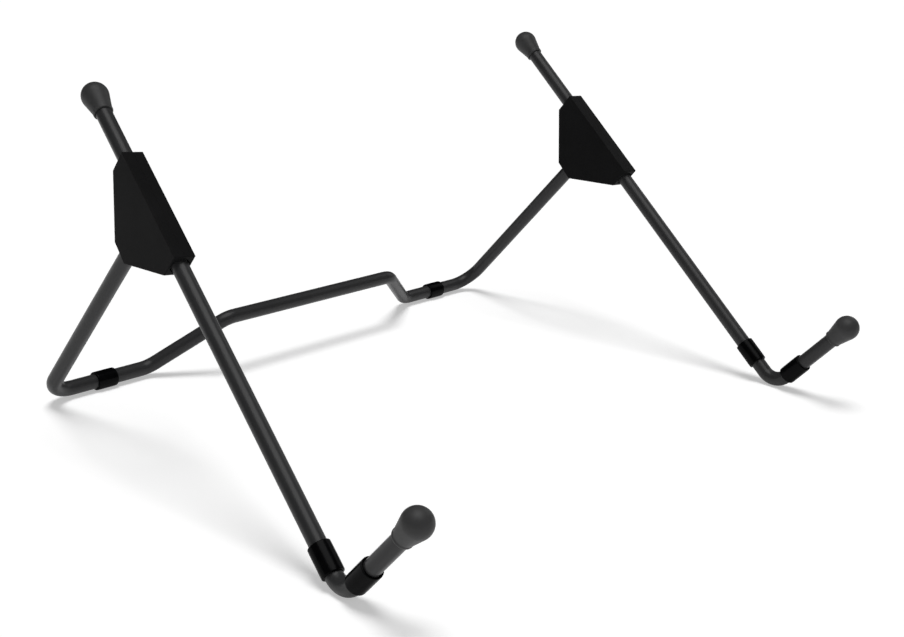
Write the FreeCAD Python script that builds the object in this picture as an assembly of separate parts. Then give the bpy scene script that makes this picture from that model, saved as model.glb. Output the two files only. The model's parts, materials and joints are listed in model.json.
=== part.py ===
import FreeCAD, Part
import math
import os

os.makedirs("parts", exist_ok=True)
V = FreeCAD.Vector

# Folding bent-rod stand. Millimetres and degrees.
# +Z is up, +X is the stand's right seen from the front, -Y is the front.
# The origin is under the middle of the whole stand's box, on the floor.

# ---------------------------------------------------------------- driving dimensions
ROD_D = 8.0                 # every rod is the same round bar
ROD_R = ROD_D / 2.0

# rear frame: one bar; the two legs lean a little differently
HALF_W = 164.7              # leg axis to the middle plane
JOG_FOOT_X = 101.4          # virtual corner where the foot run turns up
JOG_TOP_X = 63.7            # virtual corner where the middle bar starts
JOG_H = 35.5                # middle bar above the foot runs, measured in the frame's mean plane
LEG_ELEV_L = 49.30          # left leg above the floor plane, leaning forward
LEG_ELEV_R = 47.96          # right leg; the wire form carries a slight twist
CORNER_R = 15.0             # centre-line radius, leg to foot run
JOG_R = 12.0                # centre-line radius, jogs
LEG_Q = 152.7               # leg corner to the crossing with the arm's axis, along the leg

# front arms: identical bent rods
ARM_LEG_SKEW = -3.2         # arm's deviation from square to the leg
ARM_TOP = 274.1             # virtual bend corner to the top cap's centre
HOOK_LEN = 58.8             # virtual bend corner to the hook cap's centre
HOOK_ANGLE = 92.9           # inside angle between arm and hook
BEND_R = 10.4               # centre-line radius of the floor bend
SWING_L = -8.0              # left block and arm turned about the left leg, as it stands
SWING_R = -4.3              # right block and arm turned about the right leg, as it stands

# sleeves
SLEEVE_OR = 5.1
SLEEVE_IR = 4.03
SLEEVE_LEN = 14.0
SLEEVE_EDGE = 0.35
ARM_SLEEVE_START_L = 9.5   # virtual bend corner to the sleeve's near end, along the arm
ARM_SLEEVE_START_R = 16.3
HOOK_SLEEVE_START = 10.2
FOOT_SLEEVE_X = 129.6       # middle of each rear foot sleeve
FOOT_SLEEVE_LEN = 12.2

# end caps
CAP_R = 6.75                # dome radius
CAP_BASE = 11.2             # dome centre to the open end
CAP_LIP_R = 4.75
CAP_BAND = 1.2
CAP_BORE_R = 4.02
CAP_BORE_TOP = 1.5          # rod end stops this far below the dome's centre

# hinge blocks: flat six-sided plates, two halves joined on the middle plane
BLOCK_T = 10.9
ARM_END_UP = 31.5           # crossing point to the upper arm end face
ARM_END_LOW = 31.9          # crossing point to the lower arm end face
ARM_FRONT = 6.5            # arm axis to the block's long front face
ARM_BACK = 6.1              # arm axis to the back corner of each end face
LEG_END = 29.9              # crossing point to the leg end face
LEG_HALF = 6.3              # half width of the leg end face
BLOCK_EDGE = 0.35
BLOCK_TOE_R = 2.0           # rounding of the low back corner
ARM_BORE_R = 4.50           # bore that the arm liner turns in
ARM_MOUTH_R = 4.30
ARM_MOUTH_L = 2.5
ARM_SINK_R = 4.55           # shallow counterbore at each arm mouth
ARM_SINK_L = 1.0
LEG_BORE_R = 4.47           # socket that the leg bush sits in
LEG_MOUTH_R = 4.30
LEG_MOUTH_L = 2.0
LEG_TOP_GAP = 6.4           # crossing point to the leg's top end
LEG_SOCKET_TOP = 6.0
PEG_R = 1.2
PEG_H = 2.0
PEG_POS = [(17.0, -9.6), (-17.0, -9.6)]

# liners, bushes and clips
LINER_IR = 4.05
LINER_OR = 4.45
LINER_GAP = 0.10            # end clearance of the liner between the block's mouths
BUSH_IR = 4.05
BUSH_OR = 4.45
BUSH_FROM = 27.6
BUSH_TO = 14.0
SPLIT_W = 0.8
CLIP_AT = 11.4              # middle of the clip below the crossing point
CLIP_T = 1.2
CLIP_L = 13.6
CLIP_W = 8.8
GROOVE_R = 3.1
GROOVE_W = 1.5
CLIP_HOLE_R = 3.2

# where the stand's box centre lies from the middle of the rear foot line
ORIGIN_DX = -10.729
ORIGIN_DY = -148.416


# ---------------------------------------------------------------- helpers
def unit(v):
    w = V(v)
    w.normalize()
    return w


def turned(v, axis, deg):
    return FreeCAD.Rotation(axis, deg).multVec(v)


def rad(d):
    return math.radians(d)


def rod_path(points, radii):
    """Straight runs joined by tangent arcs; radii has one entry per inner point."""
    edges = []
    start = points[0]
    for i in range(1, len(points) - 1):
        p = points[i]
        a = unit(points[i - 1] - p)
        b = unit(points[i + 1] - p)
        half = math.acos(max(-1.0, min(1.0, a.dot(b)))) / 2.0
        t = radii[i - 1] / math.tan(half)
        p1 = p + a * t
        p2 = p + b * t
        c = p + unit(a + b) * (radii[i - 1] / math.sin(half))
        mid = c + unit(p - c) * radii[i - 1]
        edges.append(Part.LineSegment(start, p1).toShape())
        edges.append(Part.Arc(p1, mid, p2).toShape())
        start = p2
    edges.append(Part.LineSegment(start, points[-1]).toShape())
    return Part.Wire(edges)


def round_rod(points, radii, r):
    path = rod_path(points, radii)
    d = unit(points[1] - points[0])
    face = Part.Face(Part.Wire([Part.makeCircle(r, points[0], d)]))
    body = path.makePipe(face)
    if body.ShapeType != "Solid":
        body = Part.Solid(body.Shells[0])
    want = math.pi * r * r * path.Length
    if abs(body.Volume - want) > 0.002 * want:
        raise RuntimeError("rod volume is off")
    return body


def end_chamfer(base, end, outward, r, c):
    """Ring that bevels a rod's end; outward points away from the rod."""
    outer = Part.makeCylinder(r + 1.0, c, end - outward * c, outward)
    cone = Part.makeCone(r, r - c, c, end - outward * c, outward)
    return base.cut(outer.cut(cone))


def tube(base, axis, length, ir, orr, edge):
    outer = Part.makeCylinder(orr, length, base, axis)
    outer = outer.makeFillet(edge, [e for e in outer.Edges if isinstance(e.Curve, Part.Circle)])
    inner = Part.makeCylinder(ir, length + 2.0, base - axis * 1.0, axis)
    return outer.cut(inner)


def end_cap(centre, axis):
    """Bulb cap: dome, cone to a narrow band, blind bore for the rod. axis points to the dome."""
    a = math.hypot(CAP_LIP_R, CAP_BASE - CAP_BAND)
    alpha = math.atan2(CAP_BASE - CAP_BAND, CAP_LIP_R) - math.acos(CAP_R / a)
    tip = V(0, 0, CAP_R)
    tang = V(CAP_R * math.cos(alpha), 0, -CAP_R * math.sin(alpha))
    mid_ang = (math.pi / 2.0 - alpha) / 2.0
    mid = V(CAP_R * math.cos(mid_ang), 0, CAP_R * math.sin(mid_ang))
    neck = V(CAP_LIP_R, 0, -(CAP_BASE - CAP_BAND))
    band1 = V(CAP_LIP_R + 0.15, 0, -(CAP_BASE - CAP_BAND) - 0.15)
    band2 = V(CAP_LIP_R + 0.15, 0, -CAP_BASE + 0.3)
    band3 = V(CAP_LIP_R - 0.15, 0, -CAP_BASE)
    bore1 = V(CAP_BORE_R, 0, -CAP_BASE)
    bore2 = V(CAP_BORE_R, 0, -CAP_BORE_TOP)
    bore3 = V(0, 0, -CAP_BORE_TOP)
    edges = [
        Part.Arc(tip, mid, tang).toShape(),
        Part.LineSegment(tang, neck).toShape(),
        Part.LineSegment(neck, band1).toShape(),
        Part.LineSegment(band1, band2).toShape(),
        Part.LineSegment(band2, band3).toShape(),
        Part.LineSegment(band3, bore1).toShape(),
        Part.LineSegment(bore1, bore2).toShape(),
        Part.LineSegment(bore2, bore3).toShape(),
        Part.LineSegment(bore3, tip).toShape(),
    ]
    cap = Part.Face(Part.Wire(edges)).revolve(V(0, 0, 0), V(0, 0, 1), 360)
    if cap.ShapeType != "Solid":
        cap = Part.Solid(cap.Shells[0])
    cap.Placement = FreeCAD.Placement(centre, FreeCAD.Rotation(V(0, 0, 1), axis))
    return cap


def placed(shape, matrix):
    s = shape.copy()
    s.transformShape(matrix)
    return s


nodes = {}
joint_data = {}

# ---------------------------------------------------------------- rear frame
FOOT_Z = SLEEVE_OR          # the foot sleeves touch the floor


def leaning(elev):
    return V(0, -math.cos(rad(elev)), math.sin(rad(elev)))


LEG_UP = {-1: leaning(LEG_ELEV_L), 1: leaning(LEG_ELEV_R)}
FRAME_UP = leaning((LEG_ELEV_L + LEG_ELEV_R) / 2.0)
XAX = V(1, 0, 0)
base = V(-ORIGIN_DX, -ORIGIN_DY, FOOT_Z)


def leg_foot(sgn):
    return base + XAX * (sgn * HALF_W)


leg_len = LEG_Q - LEG_TOP_GAP
frame_pts = [
    leg_foot(-1) + LEG_UP[-1] * leg_len,
    leg_foot(-1),
    base + XAX * (-JOG_FOOT_X),
    base + XAX * (-JOG_TOP_X) + FRAME_UP * JOG_H,
    base + XAX * JOG_TOP_X + FRAME_UP * JOG_H,
    base + XAX * JOG_FOOT_X,
    leg_foot(1),
    leg_foot(1) + LEG_UP[1] * leg_len,
]
frame = round_rod(frame_pts, [CORNER_R, JOG_R, JOG_R, JOG_R, JOG_R, CORNER_R], ROD_R)
for sgn in (-1, 1):
    up = LEG_UP[sgn]
    q = leg_foot(sgn) + up * LEG_Q
    frame = end_chamfer(frame, leg_foot(sgn) + up * leg_len, up, ROD_R, 0.6)
    g0 = q - up * (CLIP_AT + GROOVE_W / 2.0)
    ring = Part.makeCylinder(ROD_R + 1.0, GROOVE_W, g0, up).cut(
        Part.makeCylinder(GROOVE_R, GROOVE_W + 2.0, g0 - up, up))
    frame = frame.cut(ring)
nodes["rear_frame"] = frame
for sgn, side in ((-1, "left"), (1, "right")):
    c = base + XAX * (sgn * FOOT_SLEEVE_X - FOOT_SLEEVE_LEN / 2.0)
    nodes[side + "_foot_sleeve"] = tube(c, XAX, FOOT_SLEEVE_LEN, SLEEVE_IR, SLEEVE_OR, SLEEVE_EDGE)

# ---------------------------------------------------------------- block, in its own plane
# local x runs up the arm, local y is square to it towards the top, local z is the thickness
sk = rad(ARM_LEG_SKEW)
leg_dir = V(math.sin(sk), math.cos(sk), 0)       # up the leg
leg_side = V(math.cos(sk), -math.sin(sk), 0)     # across the leg


def block_outline():
    leg_mid = leg_dir * (-LEG_END)
    return [
        V(ARM_END_UP, ARM_FRONT, 0),
        V(ARM_END_UP, -ARM_BACK, 0),
        leg_mid + leg_side * LEG_HALF,
        leg_mid - leg_side * LEG_HALF,
        V(-ARM_END_LOW, -ARM_BACK, 0),
        V(-ARM_END_LOW, ARM_FRONT, 0),
    ]


pts = block_outline()
face = Part.Face(Part.makePolygon([p - V(0, 0, BLOCK_T / 2.0) for p in pts + pts[:1]]))
plate = face.extrude(V(0, 0, BLOCK_T))
toe = [e for e in plate.Edges
       if all(abs(v.X + ARM_END_LOW) < 0.01 and abs(v.Y + ARM_BACK) < 0.01 for v in e.Vertexes)]
plate = plate.makeFillet(BLOCK_TOE_R, toe)
corners = [p for p in pts if not (abs(p.x + ARM_END_LOW) < 0.01 and abs(p.y + ARM_BACK) < 0.01)]
edges = []
for e in plate.Edges:
    flat = all(abs(abs(v.Z) - BLOCK_T / 2.0) < 0.01 for v in e.Vertexes) and \
        abs(e.Vertexes[0].Z - e.Vertexes[-1].Z) < 0.01
    post = any(all(math.hypot(v.X - p.x, v.Y - p.y) < 0.01 for v in e.Vertexes) for p in corners)
    if flat or post:
        edges.append(e)
plate = plate.makeFillet(BLOCK_EDGE, edges)

ex = V(1, 0, 0)
bore_low = -(ARM_END_LOW - ARM_MOUTH_L)
bore_up = ARM_END_UP - ARM_MOUTH_L
arm_bore = Part.makeCylinder(ARM_BORE_R, bore_up - bore_low, V(bore_low, 0, 0), ex)
arm_mouth = Part.makeCylinder(ARM_MOUTH_R, ARM_END_UP + ARM_END_LOW + 4.0, V(-ARM_END_LOW - 2.0, 0, 0), ex)
sink_low = Part.makeCylinder(ARM_SINK_R, ARM_SINK_L + 2.0, V(-ARM_END_LOW - 2.0, 0, 0), ex)
sink_up = Part.makeCylinder(ARM_SINK_R, ARM_SINK_L + 2.0, V(ARM_END_UP - ARM_SINK_L, 0, 0), ex)
leg_bore = Part.makeCylinder(LEG_BORE_R, LEG_END - LEG_MOUTH_L - LEG_SOCKET_TOP,
                             leg_dir * (-(LEG_END - LEG_MOUTH_L)), leg_dir)
leg_mouth = Part.makeCylinder(LEG_MOUTH_R, LEG_MOUTH_L + 2.0, leg_dir * (-(LEG_END + 1.0)), leg_dir)
holes = arm_bore.fuse([arm_mouth, sink_low, sink_up, leg_bore, leg_mouth])


def leg_box(length, width, thick, at):
    """Box centred on the leg's axis, at a distance below the crossing point."""
    b = Part.makeBox(length, thick, width, V(-length / 2.0, -thick / 2.0, -width / 2.0))
    b.Placement = FreeCAD.Placement(leg_dir * (-at), FreeCAD.Rotation(V(0, 0, 1), -ARM_LEG_SKEW))
    return b


slot = leg_box(CLIP_L + 0.4, CLIP_W + 0.2, CLIP_T + 0.1, CLIP_AT)
plate = plate.cut(holes).cut(slot)
half_box_p = Part.makeBox(120, 120, 20, V(-60, -60, 0))
half_box_m = Part.makeBox(120, 120, 20, V(-60, -60, -20))
pegs = [Part.makeCylinder(PEG_R, PEG_H + 0.5, V(x, y, -PEG_H), V(0, 0, 1)) for x, y in PEG_POS]
sockets = [Part.makeCylinder(PEG_R + 0.05, PEG_H + 0.3, V(x, y, -(PEG_H + 0.3)), V(0, 0, 1)) for x, y in PEG_POS]
shell_p = plate.common(half_box_p).fuse(pegs).removeSplitter()
shell_m = plate.common(half_box_m).cut(Part.makeCompound(sockets))

clip = leg_box(CLIP_L, CLIP_W, CLIP_T, CLIP_AT)
clip_hole = Part.makeCylinder(CLIP_HOLE_R, CLIP_T + 4.0, leg_dir * (-(CLIP_AT + CLIP_T)), leg_dir)
clip_slot = Part.makeBox(CLIP_L, CLIP_T + 2.0, 2 * CLIP_HOLE_R - 0.6,
                         V(0, -(CLIP_T + 2.0) / 2.0, -(CLIP_HOLE_R - 0.3)))
clip_slot.Placement = FreeCAD.Placement(leg_dir * (-CLIP_AT), FreeCAD.Rotation(V(0, 0, 1), -ARM_LEG_SKEW))
clip = clip.cut(clip_hole.fuse(clip_slot))

leg_bush = Part.makeCylinder(BUSH_OR, BUSH_FROM - BUSH_TO, leg_dir * (-BUSH_FROM), leg_dir).cut(
    Part.makeCylinder(BUSH_IR, BUSH_FROM - BUSH_TO + 2.0, leg_dir * (-(BUSH_FROM + 1.0)), leg_dir))
bush_split = Part.makeBox(8.0, BUSH_FROM - BUSH_TO + 2.0, SPLIT_W, V(0, -1.0, -SPLIT_W / 2.0))
bush_split.Placement = FreeCAD.Placement(leg_dir * (-BUSH_FROM), FreeCAD.Rotation(V(0, 0, 1), -ARM_LEG_SKEW))
leg_bush = leg_bush.cut(bush_split)

liner_low = bore_low + LINER_GAP
liner_len = bore_up - LINER_GAP - liner_low
arm_liner = Part.makeCylinder(LINER_OR, liner_len, V(liner_low, 0, 0), ex).cut(
    Part.makeCylinder(LINER_IR, liner_len + 2.0, V(liner_low - 1.0, 0, 0), ex))
arm_liner = arm_liner.cut(Part.makeBox(liner_len + 2.0, 8.0, SPLIT_W, V(liner_low - 1.0, 0, -SPLIT_W / 2.0)))


# ---------------------------------------------------------------- sides
def arm_frame(up, swing):
    n = turned(XAX, up, swing)
    v = turned(XAX.cross(up), up, swing)         # down and forward, square to the leg
    w = v * (-math.cos(sk)) + up * math.sin(sk)
    m = up * math.cos(sk) + v * math.sin(sk)
    return w, m, n


def bend_lift(w, h):
    """Height of the virtual bend corner when the bend's underside touches the floor."""
    half = math.acos(w.dot(h)) / 2.0
    axis = unit(w.cross(h))
    centre_up = unit(w + h).z * BEND_R / math.sin(half)
    low = BEND_R * math.sqrt(1.0 - axis.z ** 2) + ROD_R
    return low - centre_up


for sgn, side, swing, sleeve_at in ((-1, "left", SWING_L, ARM_SLEEVE_START_L),
                                    (1, "right", SWING_R, ARM_SLEEVE_START_R)):
    w, m, n = arm_frame(LEG_UP[sgn], swing)
    q = leg_foot(sgn) + LEG_UP[sgn] * LEG_Q
    om = rad(HOOK_ANGLE)
    h = w * math.cos(om) + m * math.sin(om)
    s = (q.z - bend_lift(w, h)) / w.z            # crossing point to the virtual bend corner
    bend = q - w * s
    mat = FreeCAD.Matrix(w.x, m.x, n.x, q.x,
                         w.y, m.y, n.y, q.y,
                         w.z, m.z, n.z, q.z,
                         0, 0, 0, 1)
    outer, inner = (shell_m, shell_p) if sgn < 0 else (shell_p, shell_m)
    nodes[side + "_block_outer_half"] = placed(outer, mat)
    nodes[side + "_block_inner_half"] = placed(inner, mat)
    nodes[side + "_leg_bush"] = placed(leg_bush, mat)
    nodes[side + "_leg_clip"] = placed(clip, mat)
    nodes[side + "_arm_liner"] = placed(arm_liner, mat)

    top_end = bend + w * (ARM_TOP - CAP_BORE_TOP - 0.2)
    hook_end = bend + h * (HOOK_LEN - CAP_BORE_TOP - 0.2)
    arm = round_rod([top_end, bend, hook_end], [BEND_R], ROD_R)
    arm = end_chamfer(arm, top_end, w, ROD_R, 0.6)
    arm = end_chamfer(arm, hook_end, h, ROD_R, 0.6)
    nodes[side + "_front_arm"] = arm
    nodes[side + "_top_cap"] = end_cap(bend + w * ARM_TOP, w)
    nodes[side + "_hook_cap"] = end_cap(bend + h * HOOK_LEN, h)
    nodes[side + "_arm_sleeve"] = tube(bend + w * sleeve_at, w, SLEEVE_LEN, SLEEVE_IR, SLEEVE_OR, SLEEVE_EDGE)
    nodes[side + "_hook_sleeve"] = tube(bend + h * HOOK_SLEEVE_START, h, SLEEVE_LEN, SLEEVE_IR, SLEEVE_OR, SLEEVE_EDGE)
    joint_data[side] = {"up": LEG_UP[sgn], "w": w, "h": h, "n": n, "m": m, "q": q, "bend": bend, "s": s,
                        "top": bend + w * ARM_TOP, "hook": bend + h * HOOK_LEN}

# ---------------------------------------------------------------- export
lo = V(1e9, 1e9, 1e9)
hi = V(-1e9, -1e9, -1e9)
for name, shape in nodes.items():
    if not shape.isValid():
        raise RuntimeError(name + " is not valid")
    if len(shape.Solids) != 1:
        raise RuntimeError(name + " has %d solids" % len(shape.Solids))
    solid = shape.Solids[0]
    solid.exportStep("parts/" + name + ".step")
    b = solid.optimalBoundingBox(False, False)
    lo = V(min(lo.x, b.XMin), min(lo.y, b.YMin), min(lo.z, b.ZMin))
    hi = V(max(hi.x, b.XMax), max(hi.y, b.YMax), max(hi.z, b.ZMax))
print("nodes", len(nodes))
print("box", lo, hi, "size", hi - lo)
print("box centre", (lo.x + hi.x) / 2.0, (lo.y + hi.y) / 2.0)
for side, d in joint_data.items():
    print(side, {k: (tuple(round(c, 8) for c in v) if isinstance(v, V) else round(v, 6)) for k, v in d.items()})
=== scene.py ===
import bpy
import bmesh
import json
import math
from mathutils import Vector, Matrix


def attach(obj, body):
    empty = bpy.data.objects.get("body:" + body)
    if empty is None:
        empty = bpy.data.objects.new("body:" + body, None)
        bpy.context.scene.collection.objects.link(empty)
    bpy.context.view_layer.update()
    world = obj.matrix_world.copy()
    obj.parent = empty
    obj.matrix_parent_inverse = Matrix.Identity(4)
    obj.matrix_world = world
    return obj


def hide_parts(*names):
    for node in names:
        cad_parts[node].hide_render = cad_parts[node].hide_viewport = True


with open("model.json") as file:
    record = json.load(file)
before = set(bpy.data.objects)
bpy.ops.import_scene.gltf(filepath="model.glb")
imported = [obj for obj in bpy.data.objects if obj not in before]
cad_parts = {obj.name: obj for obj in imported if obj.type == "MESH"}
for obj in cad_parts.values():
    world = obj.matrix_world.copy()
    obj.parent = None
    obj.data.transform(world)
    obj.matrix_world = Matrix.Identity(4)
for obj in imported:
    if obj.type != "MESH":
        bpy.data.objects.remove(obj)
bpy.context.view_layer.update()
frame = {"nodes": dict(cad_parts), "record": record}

record = frame["record"]
joints = {j["name"]: j for j in record["behaviour"]["joints"]}
MM = 0.001

# ------------------------------------------------------------------ sizes, in millimetres, as in the CAD
ROD_R = 4.0
HALF_W, JOG_FOOT_X, JOG_TOP_X, JOG_H = 164.7, 101.4, 63.7, 35.5
CORNER_R, JOG_R, BEND_R = 15.0, 12.0, 10.4
LEG_Q, LEG_TOP_GAP = 152.7, 6.4
ARM_TOP, HOOK_LEN, HOOK_ANGLE = 274.1, 58.8, math.radians(92.9)
SKEW = math.radians(-3.2)
SLEEVE_OR, SLEEVE_IR, SLEEVE_LEN = 5.1, 4.03, 14.0
ARM_SLEEVE_START = {"left": 9.5, "right": 16.3}
HOOK_SLEEVE_START = 10.2
FOOT_SLEEVE_X, FOOT_SLEEVE_LEN = 129.6, 12.2
CAP_R, CAP_BASE, CAP_LIP_R, CAP_BAND, CAP_BORE_R, CAP_BORE_TOP = 6.75, 11.2, 4.75, 1.2, 4.02, 1.5
BLOCK_T, LEG_END, LEG_HALF, TOE_R = 10.9, 29.9, 6.3, 2.0
ARM_END_UP, ARM_END_LOW, ARM_FRONT, ARM_BACK = 31.5, 31.9, 6.5, 6.1
ARM_SINK_R, ARM_SINK_L = 4.55, 1.0
ARM_BORE_R, ARM_MOUTH_R, ARM_MOUTH_L = 4.50, 4.30, 2.5
LEG_BORE_R, LEG_MOUTH_R, LEG_MOUTH_L = 4.47, 4.30, 2.0
LEG_SOCKET_TOP = 6.0
CLIP_AT, CLIP_T, CLIP_L, CLIP_W = 11.4, 1.2, 13.6, 8.8
GROOVE_R, GROOVE_W = 3.1, 1.5


def V(x, y, z):
    return Vector((x, y, z))


# ------------------------------------------------------------------ places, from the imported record
XAX = V(1, 0, 0)
side_data = {}
for side in ("left", "right"):
    fold = joints[side + "_fold"]
    turn = joints[side + "_arm_turn"]
    up = Vector(fold["axis"]).normalized()
    if up.z < 0:
        up = -up
    w = Vector(turn["axis"]).normalized()
    q = Vector(fold["pos_m"]) / MM
    m = (up - w * up.dot(w)).normalized()
    n = w.cross(m)
    h = w * math.cos(HOOK_ANGLE) + m * math.sin(HOOK_ANGLE)
    half = math.acos(w.dot(h)) / 2.0
    axis = w.cross(h).normalized()
    lift = BEND_R * math.sqrt(1.0 - axis.z ** 2) + ROD_R - (w + h).normalized().z * BEND_R / math.sin(half)
    bend = q - w * ((q.z - lift) / w.z)
    side_data[side] = dict(up=up, w=w, q=q, m=m, n=n, h=h, bend=bend)
UP_L, UP_R = side_data["left"]["up"], side_data["right"]["up"]
FRAME_UP = (UP_L + UP_R).normalized()
foot_l = side_data["left"]["q"] - UP_L * LEG_Q
foot_r = side_data["right"]["q"] - UP_R * LEG_Q
base = (foot_l + foot_r) / 2.0


# ------------------------------------------------------------------ mesh tools
def make_object(name, verts, faces, sharp=32.0):
    mesh = bpy.data.meshes.new(name)
    mesh.from_pydata([(v[0] * MM, v[1] * MM, v[2] * MM) for v in verts], [], faces)
    mesh.validate()
    bm = bmesh.new()
    bm.from_mesh(mesh)
    bmesh.ops.recalc_face_normals(bm, faces=bm.faces)
    bm.to_mesh(mesh)
    bm.free()
    for p in mesh.polygons:
        p.use_smooth = True
    mesh.set_sharp_from_angle(angle=math.radians(sharp))
    ob = bpy.data.objects.new(name, mesh)
    bpy.context.scene.collection.objects.link(ob)
    return ob


def across(d):
    """Two directions square to d."""
    ref = V(0, 0, 1) if abs(d.z) < 0.9 else V(1, 0, 0)
    a = (ref - d * ref.dot(d)).normalized()
    return a, d.cross(a)


def revolve(name, profile, origin, axis, seg=96, sharp=32.0):
    """Closed profile of (radius, along) turned about the axis."""
    a, b = across(axis)
    verts, rings = [], []
    for r, t in profile:
        c = origin + axis * t
        if r < 1e-6:
            rings.append([len(verts)])
            verts.append(c)
        else:
            ring = []
            for k in range(seg):
                ang = 2.0 * math.pi * k / seg
                ring.append(len(verts))
                verts.append(c + (a * math.cos(ang) + b * math.sin(ang)) * r)
            rings.append(ring)
    faces = []
    count = len(rings)
    for i in range(count):
        r0, r1 = rings[i], rings[(i + 1) % count]
        if len(r0) == 1 and len(r1) == 1:
            continue
        for k in range(seg):
            k2 = (k + 1) % seg
            if len(r0) == 1:
                faces.append((r0[0], r1[k2], r1[k]))
            elif len(r1) == 1:
                faces.append((r0[k], r0[k2], r1[0]))
            else:
                faces.append((r0[k], r0[k2], r1[k2], r1[k]))
    return make_object(name, verts, faces, sharp)


def rod_line(points, radii, step=10.0, turn=3.0):
    """Samples (centre, tangent) along straight runs joined by tangent arcs."""
    out = []

    def straight(p0, p1):
        length = (p1 - p0).length
        count = max(1, int(length / step))
        d = (p1 - p0).normalized()
        for k in range(count):
            out.append((p0 + (p1 - p0) * (k / count), d))

    start = points[0]
    for i in range(1, len(points) - 1):
        p = points[i]
        a = (points[i - 1] - p).normalized()
        b = (points[i + 1] - p).normalized()
        hf = math.acos(max(-1.0, min(1.0, a.dot(b)))) / 2.0
        t = radii[i - 1] / math.tan(hf)
        p1, p2 = p + a * t, p + b * t
        c = p + (a + b).normalized() * (radii[i - 1] / math.sin(hf))
        straight(start, p1)
        total = math.pi - 2.0 * hf
        ax = (-a).cross(b).normalized()
        count = max(3, int(math.degrees(total) / turn))
        for k in range(count):
            rot = Matrix.Rotation(total * k / count, 3, ax)
            out.append((c + rot @ (p1 - c), (rot @ (-a)).normalized()))
        start = p2
    straight(start, points[-1])
    out.append((points[-1], (points[-1] - points[-2]).normalized()))
    return out


def sweep(name, samples, radius=ROD_R, seg=72, chamfer=0.6, grooves=()):
    """Round bar along samples. grooves are (centre, half width, radius) near a straight end."""
    rings = [(c, t, radius) for c, t in samples]
    c0, t0, _ = rings[0]
    c1, t1, _ = rings[-1]
    rings = rings[1:-1]
    head = [(c0, t0, radius - chamfer), (c0 + t0 * chamfer, t0, radius)]
    tail = [(c1 - t1 * chamfer, t1, radius), (c1, t1, radius - chamfer)]
    for gc, gw, gr in grooves:
        if (gc - c0).length < (gc - c1).length:
            head += [(gc - t0 * gw, t0, radius), (gc - t0 * gw, t0, gr), (gc + t0 * gw, t0, gr), (gc + t0 * gw, t0, radius)]
            lim = (gc - c0).length + gw + 1.0
            rings = [r for r in rings if (r[0] - c0).length > lim]
        else:
            tail = [(gc - t1 * gw, t1, radius), (gc - t1 * gw, t1, gr), (gc + t1 * gw, t1, gr), (gc + t1 * gw, t1, radius)] + tail
            lim = (gc - c1).length + gw + 1.0
            rings = [r for r in rings if (r[0] - c1).length > lim]
    rings = head + rings + tail
    verts, faces = [], []
    a, b = across(rings[0][1])
    prev = rings[0][1]
    for c, t, r in rings:
        rot = prev.rotation_difference(t)
        a = rot @ a
        a = (a - t * a.dot(t)).normalized()
        b = t.cross(a)
        prev = t
        for k in range(seg):
            ang = 2.0 * math.pi * k / seg
            verts.append(c + (a * math.cos(ang) + b * math.sin(ang)) * r)
    count = len(rings)
    for i in range(count - 1):
        for k in range(seg):
            k2 = (k + 1) % seg
            faces.append((i * seg + k, i * seg + k2, (i + 1) * seg + k2, (i + 1) * seg + k))
    faces.append(tuple(range(seg)))
    faces.append(tuple((count - 1) * seg + k for k in range(seg)))
    return make_object(name, verts, faces)


def arc_points(cr, ct, r, a0, a1, count):
    """Points (radius, along) on a small arc, angles in degrees from outward to along."""
    out = []
    for k in range(count + 1):
        ang = math.radians(a0 + (a1 - a0) * k / count)
        out.append((cr + r * math.cos(ang), ct + r * math.sin(ang)))
    return out


def sleeve(name, start, axis, length=SLEEVE_LEN):
    """Shrunk vinyl sleeve: softly rolled ends and a slight draw-in at both mouths."""
    e = 0.42
    prof = []
    prof += [(SLEEVE_IR, 0.35), (SLEEVE_IR + 0.28, 0.0)]
    prof += arc_points(SLEEVE_OR - 0.05 - e, e, e, -90, 0, 6)
    prof += [(SLEEVE_OR - 0.035, 1.0), (SLEEVE_OR - 0.005, 2.2), (SLEEVE_OR, 3.8), (SLEEVE_OR, length / 2.0),
             (SLEEVE_OR, length - 3.8), (SLEEVE_OR - 0.005, length - 2.2), (SLEEVE_OR - 0.035, length - 1.0)]
    prof += arc_points(SLEEVE_OR - 0.05 - e, length - e, e, 0, 90, 6)
    prof += [(SLEEVE_IR + 0.28, length), (SLEEVE_IR, length - 0.35)]
    return revolve(name, prof, start, axis, seg=96)


def end_cap(name, centre, axis):
    """Moulded bulb: dome, cone, rolled band at the mouth, blind bore."""
    a = math.hypot(CAP_LIP_R, CAP_BASE - CAP_BAND)
    alpha = math.atan2(CAP_BASE - CAP_BAND, CAP_LIP_R) - math.acos(CAP_R / a)
    prof = []
    steps = 30
    for k in range(steps + 1):
        ang = math.pi / 2.0 - (math.pi / 2.0 + alpha) * k / steps
        prof.append((CAP_R * math.cos(ang) if k else 0.0, CAP_R * math.sin(ang)))
    tr, tt = prof[-1]
    nr, nt = CAP_LIP_R, -(CAP_BASE - CAP_BAND)
    for k in range(1, 9):
        f = k / 8.0
        prof.append((tr + (nr - tr) * f, tt + (nt - tt) * f))
    prof += [(CAP_LIP_R + 0.02, nt - 0.06), (CAP_LIP_R + 0.13, nt - 0.20), (CAP_LIP_R + 0.15, nt - 0.34)]
    prof += [(CAP_LIP_R + 0.15, -CAP_BASE + 0.40), (CAP_LIP_R + 0.10, -CAP_BASE + 0.16), (CAP_LIP_R - 0.04, -CAP_BASE + 0.03),
             (CAP_LIP_R - 0.16, -CAP_BASE), (CAP_BORE_R + 0.15, -CAP_BASE), (CAP_BORE_R, -CAP_BASE + 0.15)]
    prof += [(CAP_BORE_R, -CAP_BORE_TOP), (0.0, -CAP_BORE_TOP)]
    return revolve(name, prof, centre, axis, seg=112, sharp=40.0)


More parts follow.
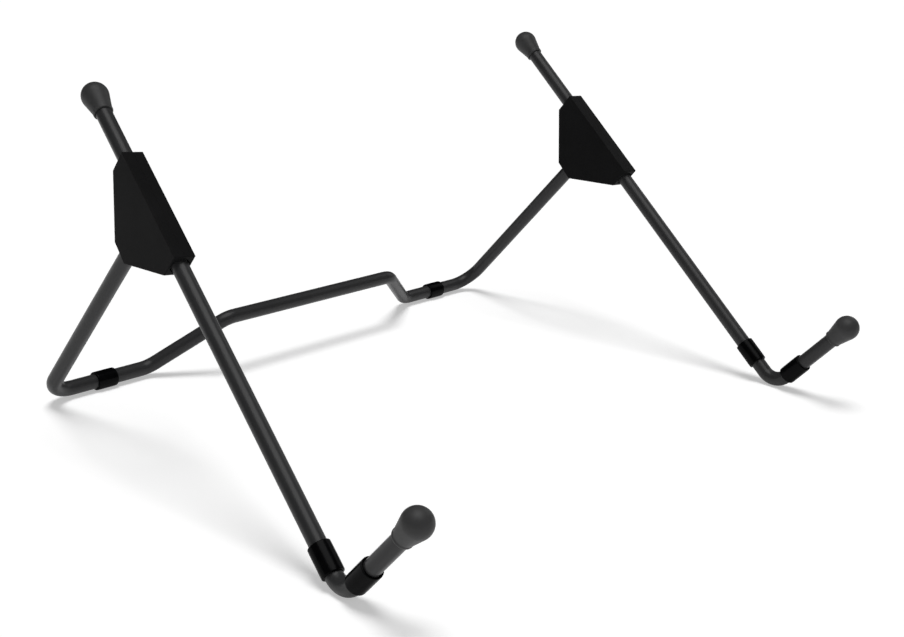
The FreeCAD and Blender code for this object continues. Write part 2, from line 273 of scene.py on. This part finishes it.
def block_half(name, d, sign):
    """One moulded half of a hinge plate; sign is the side of the middle plane it lies on."""
    ld = (math.sin(SKEW), math.cos(SKEW))
    ls = (math.cos(SKEW), -math.sin(SKEW))
    pts = [(ARM_END_UP, ARM_FRONT), (ARM_END_UP, -ARM_BACK),
           (-ld[0] * LEG_END + ls[0] * LEG_HALF, -ld[1] * LEG_END + ls[1] * LEG_HALF),
           (-ld[0] * LEG_END - ls[0] * LEG_HALF, -ld[1] * LEG_END - ls[1] * LEG_HALF),
           (-ARM_END_LOW, -ARM_BACK), (-ARM_END_LOW, ARM_FRONT)]
    # pts run clockwise seen from +z; corner arcs share one centre at every inset
    radii = [0.45, 0.45, 0.45, 0.45, TOE_R, 0.45]
    count = len(pts)
    arcs = []
    for i in range(count):
        p = Vector(pts[i])
        a = (Vector(pts[i - 1]) - p).normalized()
        b = (Vector(pts[(i + 1) % count]) - p).normalized()
        hf = math.acos(a.dot(b)) / 2.0
        c = p + (a + b).normalized() * (radii[i] / math.sin(hf))
        na = Vector((-a.y, a.x))
        if na.dot(p - c) < 0:
            na = -na
        nb = Vector((-b.y, b.x))
        if nb.dot(p - c) < 0:
            nb = -nb
        arcs.append((c, na, nb, radii[i]))

    def outline(inset):
        out = []
        for c, na, nb, r0 in arcs:
            for k in range(9):
                f = k / 8.0
                v = na.slerp(nb, f) if na.angle(nb) > 1e-4 else na
                out.append(c + v * (r0 - inset))
        return out

    t = BLOCK_T / 2.0
    e = 0.35
    levels = [(0.10, 0.0), (0.0, 0.10), (0.0, t * 0.5), (0.0, t - e)]
    for k in range(1, 6):
        ang = math.pi / 2.0 * k / 5.0
        levels.append((e * (1.0 - math.cos(ang)), t - e + e * math.sin(ang)))
    verts, faces = [], []
    per = len(outline(0.0))
    for inset, z in levels:
        for p in outline(inset):
            verts.append(V(p.x, p.y, z * sign))
    for i in range(len(levels) - 1):
        for k in range(per):
            k2 = (k + 1) % per
            faces.append((i * per + k, i * per + k2, (i + 1) * per + k2, (i + 1) * per + k))
    faces.append(tuple(range(per)))
    faces.append(tuple((len(levels) - 1) * per + k for k in range(per)))
    ob = make_object(name, verts, faces)

    # bores, cut with one closed cutter per axis
    ld3 = V(ld[0], ld[1], 0)
    ex = V(1, 0, 0)
    ch = 0.35
    cs = 0.12
    arm_prof = [(0.0, -ARM_END_LOW - 2.0), (ARM_SINK_R + cs + 2.0, -ARM_END_LOW - 2.0), (ARM_SINK_R, -ARM_END_LOW + cs),
                (ARM_SINK_R, -ARM_END_LOW + ARM_SINK_L), (ARM_MOUTH_R, -ARM_END_LOW + ARM_SINK_L),
                (ARM_MOUTH_R, -ARM_END_LOW + ARM_MOUTH_L), (ARM_BORE_R, -ARM_END_LOW + ARM_MOUTH_L),
                (ARM_BORE_R, ARM_END_UP - ARM_MOUTH_L), (ARM_MOUTH_R, ARM_END_UP - ARM_MOUTH_L),
                (ARM_MOUTH_R, ARM_END_UP - ARM_SINK_L), (ARM_SINK_R, ARM_END_UP - ARM_SINK_L),
                (ARM_SINK_R, ARM_END_UP - cs), (ARM_SINK_R + cs + 2.0, ARM_END_UP + 2.0), (0.0, ARM_END_UP + 2.0)]
    leg_prof = [(0.0, -LEG_END - 2.0), (LEG_MOUTH_R + ch + 2.0, -LEG_END - 2.0), (LEG_MOUTH_R, -LEG_END + ch),
                (LEG_MOUTH_R, -LEG_END + LEG_MOUTH_L), (LEG_BORE_R, -LEG_END + LEG_MOUTH_L),
                (LEG_BORE_R, -LEG_SOCKET_TOP), (0.0, -LEG_SOCKET_TOP)]
    cut_a = revolve(name + "_cut_a", arm_prof, V(0, 0, 0), ex, seg=72)
    cut_l = revolve(name + "_cut_l", leg_prof, V(0, 0, 0), ld3, seg=72)
    bx = []
    hl, hw, ht = (CLIP_L + 0.4) / 2.0, (CLIP_W + 0.2) / 2.0, (CLIP_T + 0.1) / 2.0
    ls3 = V(ls[0], ls[1], 0)
    for sx in (-1, 1):
        for sy in (-1, 1):
            for sz in (-1, 1):
                bx.append(ls3 * (hl * sx) + ld3 * (-CLIP_AT + ht * sy) + V(0, 0, hw * sz))
    cut_s = make_object(name + "_cut_s", bx, [(0, 1, 3, 2), (4, 6, 7, 5), (0, 4, 5, 1), (2, 3, 7, 6), (0, 2, 6, 4), (1, 5, 7, 3)])
    for cutter in (cut_a, cut_l, cut_s):
        mod = ob.modifiers.new("cut", "BOOLEAN")
        mod.operation = "DIFFERENCE"
        mod.solver = "EXACT"
        mod.object = cutter
    dg = bpy.context.evaluated_depsgraph_get()
    done = bpy.data.meshes.new_from_object(ob.evaluated_get(dg))
    ob.modifiers.clear()
    old = ob.data
    ob.data = done
    bpy.data.meshes.remove(old)
    for cutter in (cut_a, cut_l, cut_s):
        bpy.data.objects.remove(cutter)
    mat = Matrix(((d["w"].x, d["m"].x, d["n"].x, d["q"].x * MM),
                  (d["w"].y, d["m"].y, d["n"].y, d["q"].y * MM),
                  (d["w"].z, d["m"].z, d["n"].z, d["q"].z * MM),
                  (0, 0, 0, 1)))
    ob.data.transform(mat)
    for p in ob.data.polygons:
        p.use_smooth = True
    ob.data.set_sharp_from_angle(angle=math.radians(32))
    wn = ob.modifiers.new("normals", "WEIGHTED_NORMAL")
    wn.keep_sharp = True
    wn.weight = 80
    return ob


# ------------------------------------------------------------------ materials
def new_material(name):
    mat = bpy.data.materials.new(name)
    mat.use_nodes = True
    nt = mat.node_tree
    bsdf = nt.nodes["Principled BSDF"]
    return mat, nt, bsdf


def node(nt, kind, **values):
    n = nt.nodes.new(kind)
    for k, v in values.items():
        if hasattr(n, k):
            setattr(n, k, v)
        else:
            n.inputs[k].default_value = v
    return n


def noise(nt, coords, scale, detail=2.0, rough=0.5):
    n = nt.nodes.new("ShaderNodeTexNoise")
    n.inputs["Scale"].default_value = scale
    n.inputs["Detail"].default_value = detail
    n.inputs["Roughness"].default_value = rough
    nt.links.new(coords, n.inputs["Vector"])
    return n.outputs["Fac"]


def remap(nt, value, lo, hi, from_lo=0.3, from_hi=0.7):
    n = nt.nodes.new("ShaderNodeMapRange")
    n.inputs["From Min"].default_value = from_lo
    n.inputs["From Max"].default_value = from_hi
    n.inputs["To Min"].default_value = lo
    n.inputs["To Max"].default_value = hi
    nt.links.new(value, n.inputs["Value"])
    return n.outputs["Result"]


def grey_mix(nt, fac, dark, light):
    n = nt.nodes.new("ShaderNodeMix")
    n.data_type = "RGBA"
    n.inputs["A"].default_value = (*dark, 1.0)
    n.inputs["B"].default_value = (*light, 1.0)
    nt.links.new(fac, n.inputs["Factor"])
    return n.outputs["Result"]


def add_bump(nt, bsdf, layers):
    """layers: (height socket, strength, distance in metres), stacked."""
    last = None
    for height, strength, dist in layers:
        b = nt.nodes.new("ShaderNodeBump")
        b.inputs["Strength"].default_value = strength
        b.inputs["Distance"].default_value = dist
        nt.links.new(height, b.inputs["Height"])
        if last is not None:
            nt.links.new(last, b.inputs["Normal"])
        last = b.outputs["Normal"]
    nt.links.new(last, bsdf.inputs["Normal"])


def powder_coat():
    mat, nt, bsdf = new_material("powder_coat_dark_grey")
    co = nt.nodes.new("ShaderNodeTexCoord").outputs["Object"]
    broad = noise(nt, co, 28.0, 3.0)
    grain = noise(nt, co, 2600.0, 2.0)
    peel = noise(nt, co, 620.0, 1.5, 0.4)
    tone = nt.nodes.new("ShaderNodeMath")
    tone.operation = "ADD"
    nt.links.new(remap(nt, broad, 0.0, 0.6), tone.inputs[0])
    nt.links.new(remap(nt, grain, 0.0, 0.4), tone.inputs[1])
    col = grey_mix(nt, tone.outputs[0], (0.0270, 0.0270, 0.0278), (0.0345, 0.0345, 0.0354))
    nt.links.new(col, bsdf.inputs["Base Color"])
    nt.links.new(remap(nt, broad, 0.30, 0.36), bsdf.inputs["Roughness"])
    bsdf.inputs["Metallic"].default_value = 0.0
    bsdf.inputs["IOR"].default_value = 1.5
    bsdf.inputs["Specular IOR Level"].default_value = 0.18
    add_bump(nt, bsdf, [(peel, 0.20, 0.00010), (grain, 0.12, 0.00003)])
    return mat


def cap_rubber():
    mat, nt, bsdf = new_material("cap_rubber_grey")
    co = nt.nodes.new("ShaderNodeTexCoord").outputs["Object"]
    broad = noise(nt, co, 90.0, 3.0)
    grain = noise(nt, co, 3400.0, 3.0, 0.6)
    col = grey_mix(nt, remap(nt, broad, 0.0, 1.0), (0.0405, 0.0405, 0.0410), (0.0500, 0.0500, 0.0506))
    nt.links.new(col, bsdf.inputs["Base Color"])
    nt.links.new(remap(nt, grain, 0.42, 0.52), bsdf.inputs["Roughness"])
    bsdf.inputs["IOR"].default_value = 1.5
    bsdf.inputs["Specular IOR Level"].default_value = 0.18
    add_bump(nt, bsdf, [(grain, 0.22, 0.00004)])
    return mat


def sleeve_vinyl():
    mat, nt, bsdf = new_material("sleeve_vinyl_black")
    co = nt.nodes.new("ShaderNodeTexCoord").outputs["Object"]
    broad = noise(nt, co, 160.0, 2.0)
    fine = noise(nt, co, 1900.0, 2.0)
    col = grey_mix(nt, remap(nt, broad, 0.0, 1.0), (0.0016, 0.0016, 0.0018), (0.0030, 0.0030, 0.0033))
    nt.links.new(col, bsdf.inputs["Base Color"])
    nt.links.new(remap(nt, broad, 0.22, 0.28), bsdf.inputs["Roughness"])
    bsdf.inputs["IOR"].default_value = 1.5
    bsdf.inputs["Specular IOR Level"].default_value = 0.015
    bsdf.inputs["Coat Weight"].default_value = 0.07
    bsdf.inputs["Coat Roughness"].default_value = 0.22
    bsdf.inputs["Coat IOR"].default_value = 1.5
    add_bump(nt, bsdf, [(broad, 0.10, 0.00025), (fine, 0.05, 0.00003)])
    return mat


def block_plastic():
    mat, nt, bsdf = new_material("block_nylon_black")
    co = nt.nodes.new("ShaderNodeTexCoord").outputs["Object"]
    broad = noise(nt, co, 45.0, 3.0)
    grain = noise(nt, co, 1900.0, 3.0, 0.55)
    col = grey_mix(nt, remap(nt, broad, 0.0, 1.0), (0.0080, 0.0080, 0.0082), (0.0104, 0.0104, 0.0107))
    nt.links.new(col, bsdf.inputs["Base Color"])
    nt.links.new(remap(nt, grain, 0.38, 0.48), bsdf.inputs["Roughness"])
    bsdf.inputs["IOR"].default_value = 1.5
    bsdf.inputs["Specular IOR Level"].default_value = 0.018
    add_bump(nt, bsdf, [(grain, 0.75, 0.00010)])
    return mat


def acetal():
    mat, nt, bsdf = new_material("liner_acetal_natural")
    co = nt.nodes.new("ShaderNodeTexCoord").outputs["Object"]
    broad = noise(nt, co, 120.0, 3.0)
    fine = noise(nt, co, 2200.0, 2.0)
    col = grey_mix(nt, remap(nt, broad, 0.0, 1.0), (0.050, 0.050, 0.050), (0.066, 0.066, 0.064))
    nt.links.new(col, bsdf.inputs["Base Color"])
    nt.links.new(remap(nt, fine, 0.36, 0.46), bsdf.inputs["Roughness"])
    add_bump(nt, bsdf, [(fine, 0.12, 0.00003)])
    return mat


def spring_steel():
    mat, nt, bsdf = new_material("clip_spring_steel")
    co = nt.nodes.new("ShaderNodeTexCoord").outputs["Object"]
    stretch = nt.nodes.new("ShaderNodeMapping")
    stretch.inputs["Scale"].default_value = (1.0, 14.0, 1.0)
    nt.links.new(co, stretch.inputs["Vector"])
    lines = noise(nt, stretch.outputs["Vector"], 420.0, 3.0)
    col = grey_mix(nt, remap(nt, lines, 0.0, 1.0), (0.36, 0.36, 0.37), (0.50, 0.50, 0.51))
    nt.links.new(col, bsdf.inputs["Base Color"])
    nt.links.new(remap(nt, lines, 0.26, 0.38), bsdf.inputs["Roughness"])
    bsdf.inputs["Metallic"].default_value = 1.0
    add_bump(nt, bsdf, [(lines, 0.12, 0.00003)])
    return mat


MATS = {"powder_coat": powder_coat(), "cap_rubber": cap_rubber(), "sleeve_vinyl": sleeve_vinyl(),
        "block_plastic": block_plastic(), "liner_plastic": acetal(), "clip_steel": spring_steel()}


def finish_piece(ob, slot, body, cad_node):
    ob.data.materials.clear()
    ob.data.materials.append(MATS[slot])
    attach(ob, body)
    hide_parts(cad_node)


# ------------------------------------------------------------------ pieces
leg_len = LEG_Q - LEG_TOP_GAP
frame_pts = [foot_l + UP_L * leg_len, foot_l, base - XAX * JOG_FOOT_X, base - XAX * JOG_TOP_X + FRAME_UP * JOG_H,
             base + XAX * JOG_TOP_X + FRAME_UP * JOG_H, base + XAX * JOG_FOOT_X, foot_r, foot_r + UP_R * leg_len]
grooves = [(side_data[s]["q"] - side_data[s]["up"] * CLIP_AT, GROOVE_W / 2.0, GROOVE_R) for s in ("left", "right")]
bar = sweep("rear_bar", rod_line(frame_pts, [CORNER_R, JOG_R, JOG_R, JOG_R, JOG_R, CORNER_R]), grooves=grooves)
finish_piece(bar, "powder_coat", "rear_stand", "rear_frame")
for sgn, side in ((-1, "left"), (1, "right")):
    ob = sleeve(side + "_foot_sleeve_vinyl", base + XAX * (sgn * FOOT_SLEEVE_X - FOOT_SLEEVE_LEN / 2.0), XAX, FOOT_SLEEVE_LEN)
    finish_piece(ob, "sleeve_vinyl", "rear_stand", side + "_foot_sleeve")

for side in ("left", "right"):
    d = side_data[side]
    w, h, bend = d["w"], d["h"], d["bend"]
    arm_body, block_body = side + "_arm", side + "_block"
    pts = [bend + w * (ARM_TOP - CAP_BORE_TOP - 0.2), bend, bend + h * (HOOK_LEN - CAP_BORE_TOP - 0.2)]
    ob = sweep(side + "_arm_bar", rod_line(pts, [BEND_R], turn=2.5))
    finish_piece(ob, "powder_coat", arm_body, side + "_front_arm")
    ob = end_cap(side + "_top_bulb", bend + w * ARM_TOP, w)
    finish_piece(ob, "cap_rubber", arm_body, side + "_top_cap")
    ob = end_cap(side + "_hook_bulb", bend + h * HOOK_LEN, h)
    finish_piece(ob, "cap_rubber", arm_body, side + "_hook_cap")
    ob = sleeve(side + "_arm_sleeve_vinyl", bend + w * ARM_SLEEVE_START[side], w)
    finish_piece(ob, "sleeve_vinyl", arm_body, side + "_arm_sleeve")
    ob = sleeve(side + "_hook_sleeve_vinyl", bend + h * HOOK_SLEEVE_START, h)
    finish_piece(ob, "sleeve_vinyl", arm_body, side + "_hook_sleeve")
    outward = -1.0 if side == "left" else 1.0
    ob = block_half(side + "_block_outer", d, outward)
    finish_piece(ob, "block_plastic", block_body, side + "_block_outer_half")
    ob = block_half(side + "_block_inner", d, -outward)
    finish_piece(ob, "block_plastic", block_body, side + "_block_inner_half")

# carried CAD pieces: inside the blocks, seen only at the mouths
for side in ("left", "right"):
    for part, slot in (("_arm_liner", "liner_plastic"), ("_leg_bush", "liner_plastic"), ("_leg_clip", "clip_steel")):
        ob = frame["nodes"][side + part]
        ob.data.materials.clear()
        ob.data.materials.append(MATS[slot])

# ------------------------------------------------------------------ floor, light, camera
mesh = bpy.data.meshes.new("floor")
mesh.from_pydata([(-9, -9, 0), (9, -9, 0), (9, 9, 0), (-9, 9, 0)], [], [(0, 1, 2, 3)])
floor = bpy.data.objects.new("floor", mesh)
bpy.context.scene.collection.objects.link(floor)
fm, nt, bsdf = new_material("floor_white")
co = nt.nodes.new("ShaderNodeTexCoord").outputs["Object"]
col = grey_mix(nt, remap(nt, noise(nt, co, 3.0, 2.0), 0.0, 1.0), (0.715, 0.715, 0.715), (0.725, 0.725, 0.725))
nt.links.new(col, bsdf.inputs["Base Color"])
bsdf.inputs["Roughness"].default_value = 0.95
bsdf.inputs["Specular IOR Level"].default_value = 0.0
bsdf.inputs["Emission Color"].default_value = (1.0, 1.0, 1.0, 1.0)
bsdf.inputs["Emission Strength"].default_value = 0.43
floor.data.materials.append(fm)

world = bpy.data.worlds.new("studio")
bpy.context.scene.world = world
world.use_nodes = True
bg = world.node_tree.nodes["Background"]
bg.inputs["Color"].default_value = (1.0, 1.0, 1.0, 1.0)
# weak fill for the object, a plain pale backdrop for the camera, nothing in the gloss
wt = world.node_tree
path = wt.nodes.new("ShaderNodeLightPath")
level = wt.nodes.new("ShaderNodeMapRange")
level.inputs["To Min"].default_value = 0.16
level.inputs["To Max"].default_value = 0.90
wt.links.new(path.outputs["Is Camera Ray"], level.inputs["Value"])
wt.links.new(level.outputs["Result"], bg.inputs["Strength"])
world.cycles_visibility.glossy = False


def area_light(name, pos, target, size, power, size_y=None):
    li = bpy.data.lights.new(name, "AREA")
    li.energy = power
    li.shape = "RECTANGLE"
    li.size = size
    li.size_y = size_y or size
    ob = bpy.data.objects.new(name, li)
    bpy.context.scene.collection.objects.link(ob)
    ob.location = pos
    ob.rotation_euler = (Vector(target) - Vector(pos)).to_track_quat("-Z", "Y").to_euler()
    return ob


def towards(az, el, dist):
    """Position from the part at an azimuth from +Y towards +X, and an elevation, in degrees."""
    a, e = math.radians(az), math.radians(el)
    return (dist * math.sin(a) * math.cos(e), dist * math.cos(a) * math.cos(e), dist * math.sin(e))


# a soft overhead key over a faintly lit white floor keeps the shadows as pale and wide as in a product picture;
# only the overhead softbox, the weak side strip and the floor show in the gloss of the rods
sun = bpy.data.lights.new("key", "SUN")
sun.energy = 2.10
sun.angle = math.radians(27.0)
key = bpy.data.objects.new("key", sun)
bpy.context.scene.collection.objects.link(key)
key.rotation_euler = (-Vector(towards(45.0, 86.5, 1.0))).to_track_quat("-Z", "Y").to_euler()
key.visible_glossy = False
box = area_light("softbox", towards(-139.0, 78.0, 2.0), (0.0, 0.0, 0.08), 1.7, 30.0)
box.visible_diffuse = False
# weak strip at the right, for the grazing front face of the right plate
strip = area_light("strip", towards(93.0, 31.0, 1.6), (0.0, 0.0, 0.08), 0.9, 2.3)
strip.visible_diffuse = False

CAM = [-510.70003, -456.78139, 266.06319, 0.83717, -0.30582, 0.035, 1370.23765]
cx, cy, cz, yaw, pitch, roll, focal = CAM
fwd = V(math.sin(yaw) * math.cos(pitch), math.cos(yaw) * math.cos(pitch), math.sin(pitch))
rt = V(math.cos(yaw), -math.sin(yaw), 0)
upv = rt.cross(fwd)
right = rt * math.cos(roll) + upv * math.sin(roll)
upc = -rt * math.sin(roll) + upv * math.cos(roll)
cam = bpy.data.cameras.new("camera")
cam.sensor_width = 36.0
cam.lens = focal * 36.0 / 904.0
cam.clip_start = 0.01
cam.clip_end = 50.0
cam_ob = bpy.data.objects.new("camera", cam)
bpy.context.scene.collection.objects.link(cam_ob)
cam_ob.matrix_world = Matrix(((right.x, upc.x, -fwd.x, cx * MM),
                              (right.y, upc.y, -fwd.y, cy * MM),
                              (right.z, upc.z, -fwd.z, cz * MM),
                              (0, 0, 0, 1)))
bpy.context.scene.camera = cam_ob
bpy.context.scene.view_settings.view_transform = "Standard"
